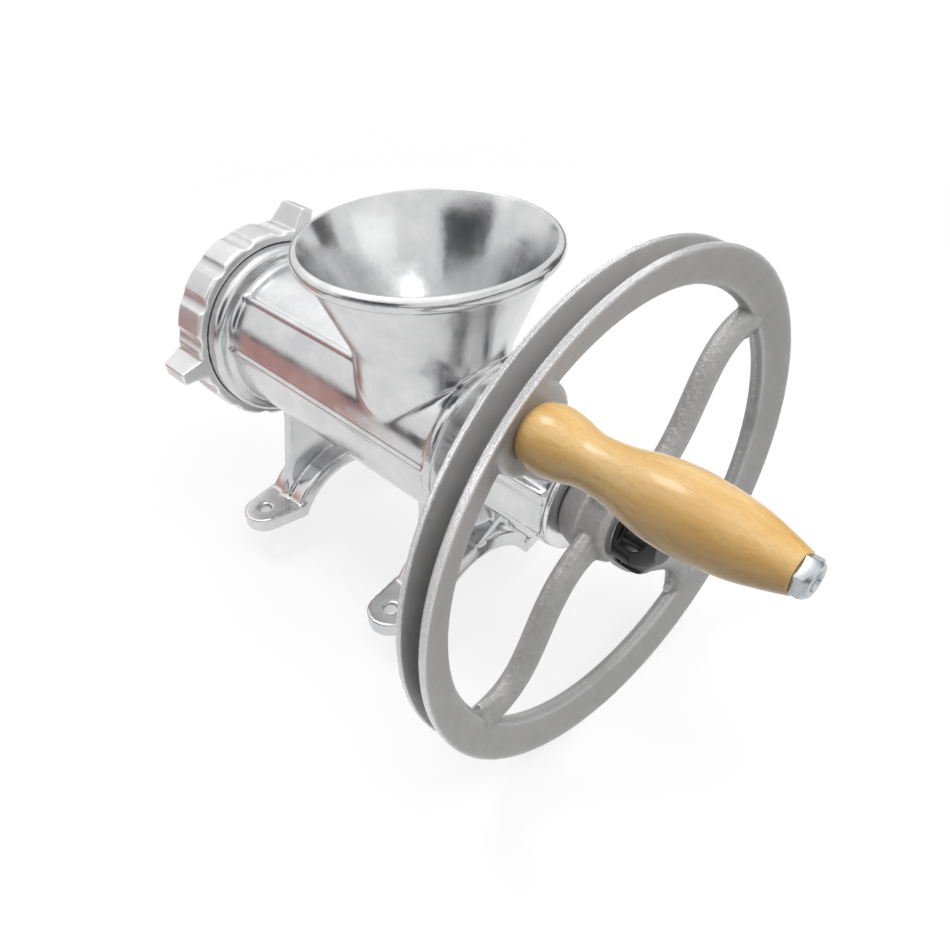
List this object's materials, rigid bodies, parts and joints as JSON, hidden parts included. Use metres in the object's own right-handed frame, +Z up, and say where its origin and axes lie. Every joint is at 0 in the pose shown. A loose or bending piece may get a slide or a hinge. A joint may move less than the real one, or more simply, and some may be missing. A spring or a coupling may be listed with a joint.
{
  "type": "manual meat grinder",
  "caption": "Bench-bolted hand-cranked meat grinder with a round hopper, auger barrel, lugged ring nut and a spoked V-groove wheel with a wooden grip.",
  "frame": {"origin": "middle of the rectangle of bench bolts, on the underside of the feet", "axes": "+Z up, +Y along the shaft towards the plate and its ring nut, -Y towards the wheel and its handle, +X to the right seen from the handle"},
  "size_m": [0.27, 0.4344, 0.27],
  "materials": {
    "polished_aluminium": "polished casting",
    "satin_aluminium": "satin casting",
    "tool_steel": "ground",
    "shaft_steel": "turned",
    "cast_auger": "tinned casting",
    "bush_bronze": "turned bronze",
    "thrust_fibre": "matt fibre",
    "bright_steel": "bright turned",
    "wheel_paint": "silver-grey paint with bare lips",
    "zinc_steel": "bright zinc",
    "varnished_wood": "varnished",
    "black_plastic": "gloss"
  },
  "bodies": {
    "stand": {"body_casting": "polished_aluminium", "rear_bush": "bush_bronze", "thrust_washer": "thrust_fibre", "plate_key": "shaft_steel"},
    "plate": {"grinding_plate": "tool_steel"},
    "ring": {"ring_nut": "satin_aluminium"},
    "crank": {"pulley_wheel": "wheel_paint", "auger_shaft": "shaft_steel", "auger": "cast_auger", "cross_pin": "shaft_steel", "knife_stud": "shaft_steel", "cutting_knife": "tool_steel", "hub_washer": "bright_steel", "handle_bolt": "zinc_steel", "grip_sleeve": "shaft_steel", "spring_washer": "zinc_steel", "handle_nut": "zinc_steel"},
    "grip": {"wooden_grip": "varnished_wood"},
    "clamp_washer": {"knob_washer": "bright_steel"},
    "knob": {"thumb_knob": "black_plastic", "knob_screw": "zinc_steel"}
  },
  "joints": [
    {"name": "crank_turn", "type": "hinge", "parent": "stand", "child": "crank", "pos_m": [0, 0, 0.1115], "axis": [0, 1, 0], "continuous": true},
    {"name": "grip_spin", "type": "hinge", "parent": "crank", "child": "grip", "pos_m": [-0.07222, -0.24, 0.20393], "axis": [0, 1, 0], "continuous": true},
    {"name": "plate_slide", "type": "slide", "parent": "stand", "child": "plate", "axis": [0, 1, 0], "range_m": [0, 0.006]},
    {"name": "ring_turn", "type": "hinge", "parent": "plate", "child": "ring", "pos_m": [0, 0.12, 0.1115], "axis": [0, 1, 0], "range_deg": [0, 360]},
    {"name": "washer_slide", "type": "slide", "parent": "crank", "child": "clamp_washer", "axis": [0, -1, 0], "range_m": [0, 0.00525]},
    {"name": "knob_turn", "type": "hinge", "parent": "clamp_washer", "child": "knob", "pos_m": [0, -0.2, 0.1115], "axis": [0, -1, 0], "range_deg": [0, 1080]}
  ],
  "couplings": [
    {"joint": "plate_slide", "follows": "ring_turn", "m_per_rad": 0.00095493},
    {"joint": "knob_turn", "follows": "washer_slide", "rad_per_m": 3590.4}
  ]
}
